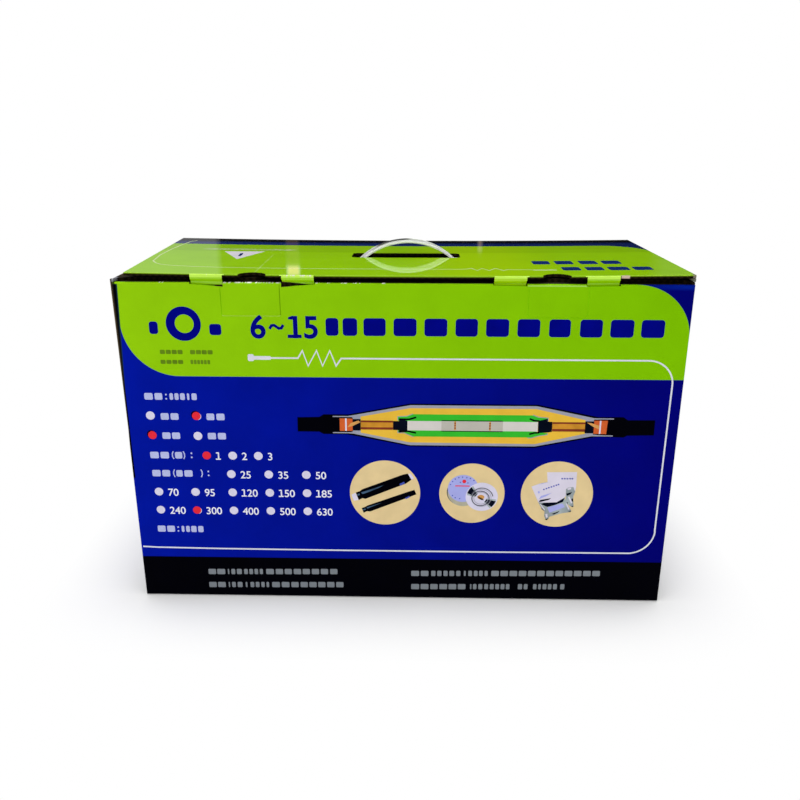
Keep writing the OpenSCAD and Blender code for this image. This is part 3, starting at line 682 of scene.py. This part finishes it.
def medallions():
    """Three tan discs with simple shapes: two tubes, two reels and two sachets."""
    for i, (x, z, r) in enumerate(((-17.4, 135, 39.4), (79.7, 135.4, 36.4), (174.3, 135.3, 40))):
        print_on("disc_%d" % (i + 1), [filled([disc(x, z, r, 72)])], "tan", 1)
    print_on("tube_tips", each([(-55.1, 132.3), (-50.5, 134.8), (-47, 126), (-52.3, 124.9)],
                               [(8.1, 158.4), (11.4, 158.9), (15, 153.1), (12.1, 151.5)]), "pale", 2)
    print_on("tubes", each([(-50.2, 135.2), (-45.6, 136.9), (-42.8, 139.3), (2.7, 157.7), (8.1, 158.9),
                            (12.1, 151.5), (6.3, 146.9), (-39.4, 127.4), (-42.6, 128.3), (-47, 125.8)],
                           [(-43.8, 115.9), (-39.5, 117.6), (-37.3, 119.2), (9.2, 137.1), (15.5, 139.1),
                            (17.8, 133.7), (12.4, 131.3), (-34.3, 111.7), (-38.2, 112), (-41.6, 110)]), "black", 3)
    print_on("tube_shine", each([(-44.3, 135.3), (-32.4, 139.6), (-18.8, 144.6), (-24.4, 141), (-32.4, 137.4),
                                 (-42.5, 133.2)],
                                [(-49.1, 133), (-45.9, 134), (-45.5, 132.2), (-48.1, 131.1)],
                                [(-38.4, 116.8), (-32.6, 118.9), (-21.3, 122.8), (-27, 120), (-35.1, 116.5),
                                 (-37.3, 115.3)],
                                [(-42.7, 114.3), (-39.5, 115.4), (-39.1, 114), (-42, 113)]), "slate", 4)
    print_on("tube_marks", each([(-1.4, 146.2), (3.9, 149), (4.9, 146.8), (-0.2, 144.2)],
                                [(5, 129.1), (9.8, 131.7), (10.6, 130.2), (6.2, 127.7)]), "mark", 4)
    # Reel in a tin and a roll of tape
    print_on("reel_shade", each(disc(69, 136.8, 17.3, rz=16.4)), "dark", 2)
    print_on("reel_side", each(disc(69.9, 136.2, 17.2, rz=16.4)), "stone", 3)
    print_on("reel_face", each(disc(69.8, 141.5, 17, rz=16.5)), "lilac", 4)
    ticks = [(55.6, 146.2), (57.9, 149.9), (60.8, 152.9), (64.7, 154.7), (68.8, 155.3), (73.6, 154.8),
             (77.6, 153.8), (81.5, 151.4), (66.6, 149.1), (75, 148.4), (58.1, 132.7), (61.2, 130.1), (66.2, 129.1)]
    print_on("reel_ticks", each(*(disc(x, z, 0.75, 10) for x, z in ticks)), "mark", 5)
    print_on("reel_marks", each(disc(70.9, 150.2, 2.2, 20), rounded(60.8, 77, 144, 145.2, 0.5)), "red", 5)
    print_on("roll_side", each(disc(90.8, 131.5, 18, rz=17.4)), "pale", 5)
    print_on("roll_sheen", each(*(arc(90.8, 131.5, 16.6, a, a + 46, 10) + arc(90, 130.4, 6, a + 46, a, 6)
                                  for a in (127, 304))), "foil", 6)
    print_on("roll_shade", each(*(arc(90.8, 131.5, 16.8, a, a + 30, 8) + arc(90, 130.4, 6, a + 30, a, 5)
                                  for a in (135, 312))), "ebony", 7)
    print_on("roll_turns", each(stroke(arc(90.9, 130.3, 12.4, 10, 168, 28, 12), 0.9),
                                stroke(arc(89.6, 129.6, 9.6, 0, 359, 40, 9), 0.9)), "dark", 8)
    print_on("roll_rings", each(stroke(arc(90.3, 130.2, 11, 0, 359, 40, 10.5), 0.5),
                                stroke(arc(90, 129.9, 8, 0, 359, 40, 7.4), 0.6)), "grey", 9)
    print_on("roll_middle", each(disc(89.5, 129.6, 6.2, 36, 5.6)), "pale", 8)
    print_on("roll_hole", each(disc(89.9, 131.2, 3.9, 30, 2.8)), "sand", 9)
    print_on("roll_core", each([(85.4, 132.2), (87.6, 131.7), (92.6, 128.9), (93.4, 127.4), (90.2, 127.7)]),
             "dark", 9)
    # Two sachets with foil feet
    print_on("sachet_back", each([(161.9, 162.3), (194.8, 162.9), (194.9, 144.7), (194.1, 137.3), (182.1, 132.3),
                                  (174, 135.7), (163.2, 150.4)]), "paper", 2)
    print_on("foil_back", each([(184, 142), (186.1, 143.8), (192, 144.9), (193.4, 141), (194.5, 139.5),
                                (192.8, 133.8), (192.9, 128.9), (193.9, 121), (192.1, 120.1), (187.5, 123.1),
                                (184.8, 125.3)]), "foil", 3)
    print_on("folds_back", each([(184.6, 136.6), (191, 138.7), (189.4, 135.8), (185.6, 133.9)],
                                [(190.6, 130.2), (192.6, 130.9), (193.2, 126.7), (191.4, 127.3)],
                                [(191, 120.8), (193.7, 121.7), (193.3, 119.9)],
                                [(184.9, 125.3), (187.3, 126.2), (186.7, 123.6)]), "ebony", 4)
    print_on("glints_back", each([(186.9, 132.4), (188.4, 133.3), (192.2, 125.4), (191, 124.5)],
                                 [(185.4, 142.9), (189.3, 144), (189.8, 142.1), (186.3, 141)]), "paper", 4)
    print_on("sachet_front", each([(145.6, 144.8), (154.2, 148.4), (165.1, 150.9), (176.9, 152.3), (183.9, 135.9),
                                   (183, 131.9), (174.7, 125.2), (155.6, 124.5), (154.3, 125.4)]), "paper", 5)
    print_on("foil_front", each([(154.3, 125.4), (174.7, 125.2), (183, 131.9), (187.6, 121.8), (191.7, 115.5),
                                 (191, 114), (179.5, 111.9), (174, 109.9), (167.8, 107.8), (166.3, 104.8),
                                 (164, 103.5), (161.7, 108.6), (161.8, 114.4), (158.4, 117.9)]), "foil", 6)
    print_on("sachet_label", each([(164.5, 119.3), (181.2, 124.6), (184.2, 120), (167.5, 112.8)]), "lilac", 7)
    print_on("folds_front", each([(157.4, 123.4), (160.3, 125), (174.6, 125.9), (183, 131.6), (181.9, 126.6),
                                  (173.2, 122.7), (164.6, 120)],
                                 [(154.5, 125.8), (156.2, 128.5), (168.1, 130.9), (165.7, 128.8), (157.3, 126.3)],
                                 [(162.5, 104.7), (167.3, 105.7), (164.8, 103.5)],
                                 [(188.1, 114.5), (191.4, 115.6), (191, 114)],
                                 [(169.9, 111.4), (178.9, 115.3), (177, 113.2), (172.4, 110.5)],
                                 [(157.4, 118.2), (159.6, 117.5), (161.6, 114.6)]), "ebony", 8)
    print_on("glints_front", each([(155.6, 124.1), (157, 123.4), (162, 117.1), (161.7, 115.4)],
                                  [(184.6, 125.3), (186, 124.4), (189.9, 117.4), (188.2, 116.9)],
                                  [(162.8, 110.8), (165.1, 111.7), (165.8, 107.3), (164.2, 106.4)]), "paper", 8)
    print_on("sachet_tint", each([(154.9, 129.6), (156.7, 133.3), (168.3, 137.4), (163, 133.4)],
                                 [(152.8, 138.5), (154.5, 139.9), (155.5, 137.3), (154, 136.2)],
                                 [(153.1, 147), (157.3, 149.1), (164.4, 150.3), (156.6, 148.1)]), "lilac", 6)
    front = [(159.5, 141.5), (162.3, 142.6), (164.9, 143.7), (167.7, 144.7), (170.3, 145.7), (173, 146.8),
             (175.4, 147.7)]
    back = [(178.9, 154.8), (181.8, 154.8), (184.7, 154.8), (187.7, 154.9), (190.2, 154.9)]
    print_on("sachet_marks", each(*(rounded(x - 0.85, x + 0.85, z - 0.8, z + 0.8, 0.3) for x, z in front + back)),
             "mark", 7)


LID_LINE = [(-274, 112), (-280, 98.5), (-283, 64), (-284.5, 26), (-284, -15), (-279, -57), (-272, -70),
            (-265, -77.4), (-252, -83.8), (-229, -88), (-194, -91.4), (-152, -92.2), (-77, -91.8), (0, -91),
            (64, -91), (70, -89), (75, -84), (80.5, -99), (86.4, -84), (93, -99), (100.7, -84.5), (108, -99),
            (113, -93), (139, -94)]


def lid_print():
    print_on("line_lid", [filled([stroke(LID_LINE, 1.7)])], "thin_white", 1, "lid")
    print_on("line_lid_head", each(rounded(139, 165, FRONT + 36, FRONT + 41, 2.5)), "thin_white", 1, "lid")
    print_on("triangle", [filled([[(-216.9, 22.6), (-168.6, 26), (-189.8, -34.6)]])], "pale_gloss", 1, "lid")
    print_on("triangle_mark", each([(-193.4, -12), (-195, 8), (-191.8, 12), (-190.3, -1.4), (-190.6, -14)]),
             "navy_gloss", 2, "lid")
    rows = ((-47.6, 23, ((145, 164.2), (170.2, 190), (197.1, 216.8), (222.6, 243))),
            (-88.6, 21, ((171.4, 191), (196.7, 215.6), (220.8, 242.8), (247.2, 267.2))))
    for i, (y, deep, spans) in enumerate(rows):
        words = [rounded(a, b, y - deep / 2, y + deep / 2, 3) for a, b in spans]
        print_on("lid_words_%d" % (i + 1), [filled(words)], "navy_gloss", 1, "lid")


def corner_strip():
    """A crushed corner of raw board that stands up in the gap under the lid's right front corner."""
    right, foot = 299.75, 374.35
    profile = [(right, foot), (right, 377.75), (292.6, 377.6), (292.8, 377.1), (298.6, foot)]
    # Each ring's place in y, share of the height, and shift to the right
    rings = [(-134.2, 1.0, 0.0), (-128, 1.0, 0.3), (-112, 0.9, 0.7), (-97, 0.5, 1.0)]
    verts = [(min(x + shift, right) * MM, y * MM, (foot + (z - foot) * k) * MM)
             for y, k, shift in rings for x, z in profile]
    n = len(profile)
    faces = [tuple(range(n)), tuple(range(len(verts) - 1, len(verts) - n - 1, -1))]
    faces += [(r * n + i, (r + 1) * n + i, (r + 1) * n + (i + 1) % n, r * n + (i + 1) % n)
              for r in range(len(rings) - 1) for i in range(n)]
    mesh = bpy.data.meshes.new("corner_strip")
    mesh.from_pydata(verts, [], faces)
    bm = bmesh.new()
    bm.from_mesh(mesh)
    bmesh.ops.recalc_face_normals(bm, faces=bm.faces)
    bm.to_mesh(mesh)
    bm.free()
    m = Material("raw_edge")
    # Painted shade: the raw board is darker towards the inside, under the lid
    colour = m.mix(m.ranged(m.x, 293, 299.6, 0.0, 1.0), srgb(40, 36, 24), srgb(112, 114, 98))
    mesh.materials.append(m.finish(m.shade(colour, m.noise(700, 3, 0.8, 1.15)), 0.85, Specular_IOR_Level=0.02))
    obj = put("corner_strip", mesh)
    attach(obj, "carton")


def stage():
    """A pale floor round the carton that turns into the plain white background further out."""
    wide, low = 30.0, -0.0006
    mesh = bpy.data.meshes.new("floor")
    mesh.from_pydata([(a * wide, b * wide, low) for a, b in ((-1, -1), (1, -1), (1, 1), (-1, 1))],
                     [], [(0, 1, 2, 3)])
    n = Material("floor_paint")
    n.finish(n.shade((0.93, 0.93, 0.93, 1), n.noise(3, 2, 0.99, 1.01)), 0.75, Specular_IOR_Level=0.1)
    far = n.length(*(n.math("MAXIMUM", n.minus(n.math("ABSOLUTE", a), half), 0.0)
                     for a, half in ((n.x, HALF), (n.y, BACK))))
    path = n.new("ShaderNodeLightPath").outputs
    seen = n.any(path["Is Camera Ray"], path["Is Glossy Ray"], path["Is Transmission Ray"])
    mixed = n.new("ShaderNodeMixShader")
    for socket, output in zip(mixed.inputs, (n.all(seen, n.ranged(far, 2, 120, 0.0, 1.0)), n.shader.outputs[0],
                                             n.new("ShaderNodeEmission").outputs[0])):
        n.link(output, socket)
    n.link(mixed.outputs[0], n.tree.nodes["Material Output"].inputs["Surface"])
    mesh.materials.append(n.mat)
    floor = put("floor", mesh)


def area(name, place, target, size, power):
    light = bpy.data.lights.new(name, "AREA")
    light.shape = "RECTANGLE"
    light.size, light.size_y = size
    light.energy = power
    obj = put(name, light)
    obj.location = place
    obj.rotation_euler = (Vector(target) - Vector(place)).to_track_quat("-Z", "Y").to_euler()


def lights():
    """Three soft lamps in a pale room, with a dark card behind the carton for the lid to mirror."""
    area("key", (-1.6, -2.6, 2.4), (0, 0, 0.2), (2.2, 1.6), KEY)
    area("fill", (2.2, -2.4, 1.6), (0, 0, 0.2), (1.8, 1.6), FILL)
    area("top", (0.0, 0.2, 3.0), (0, 0, 0.2), (2.4, 1.6), TOP)
    world = bpy.data.worlds.new("studio")
    bpy.context.scene.world = world
    world.use_nodes = True
    n = Nodes(world.node_tree)
    x, y, z = n.split(n.new("ShaderNodeTexCoord").outputs["Generated"])
    side = n.math("DIVIDE", x, n.math("MAXIMUM", y, 0.05))
    card = n.all(n.above(z, 0.04, 0.03), n.below(z, 0.5, 0.3), n.above(y, 0.35, 0.2),
                 n.below(n.math("ABSOLUTE", side), 0.8, 0.3))
    right_part = n.number(n.above(side, 0.29, 0.02), CARD[1], CARD[2])
    dark = n.number(n.above(side, -0.245, 0.008), CARD[0], right_part)
    light = n.number(card, n.number(n.above(z, 0.6, 0.6), ROOM, SKY), dark)
    # Narrow warm openings beside the card's middle, which the lid mirrors as streaks
    warm = 0.0
    for at, half, low, high, strength in WINDOWS:
        strip = n.all(card, n.between(side, at - half, at + half, 0.004), n.between(z, low, high, 0.003))
        light = n.math("ADD", light, n.scaled(strip, strength))
        warm = n.math("MAXIMUM", warm, strip)
    seen = n.new("ShaderNodeLightPath").outputs["Is Camera Ray"]
    back = n.tree.nodes["Background"].inputs
    n.link(n.number(seen, light, 1.0), back["Strength"])
    n.link(n.mix(n.all(warm, n.no(seen)), (1, 1, 1, 1), (1.0, 0.62, 0.42, 1)), back["Color"])


def camera():
    """The photograph's camera, from a fit to the carton's corners."""
    pitch, yaw, roll = math.radians(18.8908), math.radians(-1.26326), math.radians(-0.07969)
    eye = (0.0172003, -0.8134355 + FRONT * MM, 0.5235561)
    sensor, focal, width = 36.0, 799.878, 800       # millimetres, pixels, pixels
    cp, sp, cw, sw, cr, sr = (f(a) for a in (pitch, yaw, roll) for f in (math.cos, math.sin))
    turn = Matrix(((cw, -sw, 0), (sw, cw, 0), (0, 0, 1)))
    base = Matrix(((1, 0, 0), (0, 0, 1), (0, 1, 0)))
    nod = Matrix(((1, 0, 0), (0, cp, sp), (0, -sp, cp)))
    tilt = Matrix(((cr, -sr, 0), (sr, cr, 0), (0, 0, 1)))
    right, up, ahead = tilt @ nod @ base @ turn
    cam = bpy.data.cameras.new("camera")
    cam.sensor_width = sensor
    cam.lens = sensor * focal / width
    cam.clip_start = 0.01
    obj = put("camera", cam)
    axes = Matrix((right, up, -ahead)).transposed()
    obj.matrix_world = Matrix.Translation(eye) @ axes.to_4x4()
    bpy.context.scene.camera = obj


camera()
lights()
stage()
for node, made in (("carton_body", body_material()), ("lid", lid_material()), ("handle", strap_material())):
    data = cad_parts[node].data
    data.materials.clear()
    data.materials.append(made)
front_print()
diagram()
medallions()
lid_print()
corner_strip()
bpy.context.scene.view_settings.view_transform = "Standard"
bpy.context.view_layer.update()
